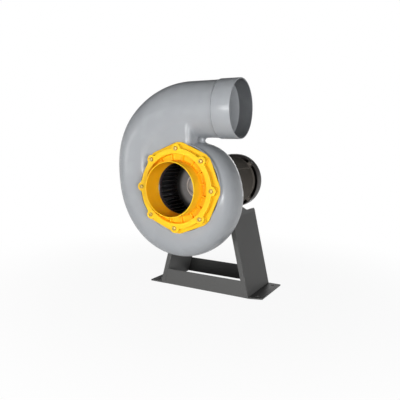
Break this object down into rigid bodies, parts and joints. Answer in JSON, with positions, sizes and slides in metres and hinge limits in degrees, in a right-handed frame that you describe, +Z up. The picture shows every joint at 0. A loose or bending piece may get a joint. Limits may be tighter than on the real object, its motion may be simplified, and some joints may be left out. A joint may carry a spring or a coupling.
{
  "type": "centrifugal exhaust fan",
  "caption": "Direct-driven centrifugal exhaust fan: moulded snail casing with side outlet socket, lugged inlet ring, drum impeller, flange motor and folded steel stand.",
  "frame": {"origin": "on the floor, at the centre of the rectangle of base fixing holes", "axes": "+Z up, -Y towards the inlet along the fan's axis, +X towards the outlet"},
  "size_m": [0.4483, 0.482, 0.655],
  "materials": {
    "casing_grey": "moulded grey polypropylene, satin",
    "inlet_yellow": "moulded yellow plastic, satin",
    "black_plastic": "moulded black plastic",
    "stand_paint": "dark grey powder coat on folded sheet steel",
    "motor_paint": "dark brown-grey paint",
    "cowl_paint": "dark grey paint on pressed sheet",
    "steel": "bright turned steel",
    "zinc": "zinc-plated steel",
    "cap_metal": "spun aluminium, semi-gloss",
    "lamination": "stacked steel laminations",
    "cast_aluminium": "as cast",
    "copper": "enamelled copper wire",
    "brass": "plain brass",
    "rubber": "black rubber"
  },
  "bodies": {
    "casing": {"left_leg": "stand_paint", "right_leg": "stand_paint", "front_brace": "stand_paint", "rear_brace": "stand_paint", "motor_plate": "stand_paint", "volute_housing": "casing_grey", "outlet_socket": "casing_grey", "front_inserts": "brass", "back_inserts": "brass", "housing_bolts": "zinc", "back_cover": "casing_grey", "back_cover_screws": "zinc", "shaft_seal": "rubber", "inlet_ring": "inlet_yellow", "inlet_gasket": "rubber", "inlet_screws": "zinc", "front_shield": "motor_paint", "rear_shield": "motor_paint", "stator_housing": "motor_paint", "stator_core": "lamination", "stator_windings": "copper", "front_bearing_outer": "steel", "rear_bearing_outer": "steel", "motor_bolts": "zinc", "tie_bolts": "zinc", "fan_cowl": "cowl_paint", "cowl_screws": "zinc", "terminal_box": "motor_paint", "terminal_box_lid": "motor_paint", "terminal_box_screws": "zinc", "terminal_block": "black_plastic", "cable_gland": "black_plastic", "gland_nut": "black_plastic"},
    "rotor": {"motor_shaft": "steel", "rotor_core": "lamination", "rotor_end_rings": "cast_aluminium", "front_bearing_inner": "steel", "front_bearing_balls": "steel", "rear_bearing_inner": "steel", "rear_bearing_balls": "steel", "impeller_backplate": "black_plastic", "impeller_blades": "black_plastic", "impeller_front_ring": "black_plastic", "impeller_key": "steel", "hub_cap": "cap_metal", "hub_washer": "zinc", "hub_bolt": "zinc", "slinger": "rubber", "cooling_fan": "black_plastic", "fan_circlip": "steel"}
  },
  "joints": [
    {"name": "rotor_spin", "type": "hinge", "parent": "casing", "child": "rotor", "pos_m": [0, -0.183, 0.345], "axis": [0, 1, 0], "continuous": true}
  ]
}
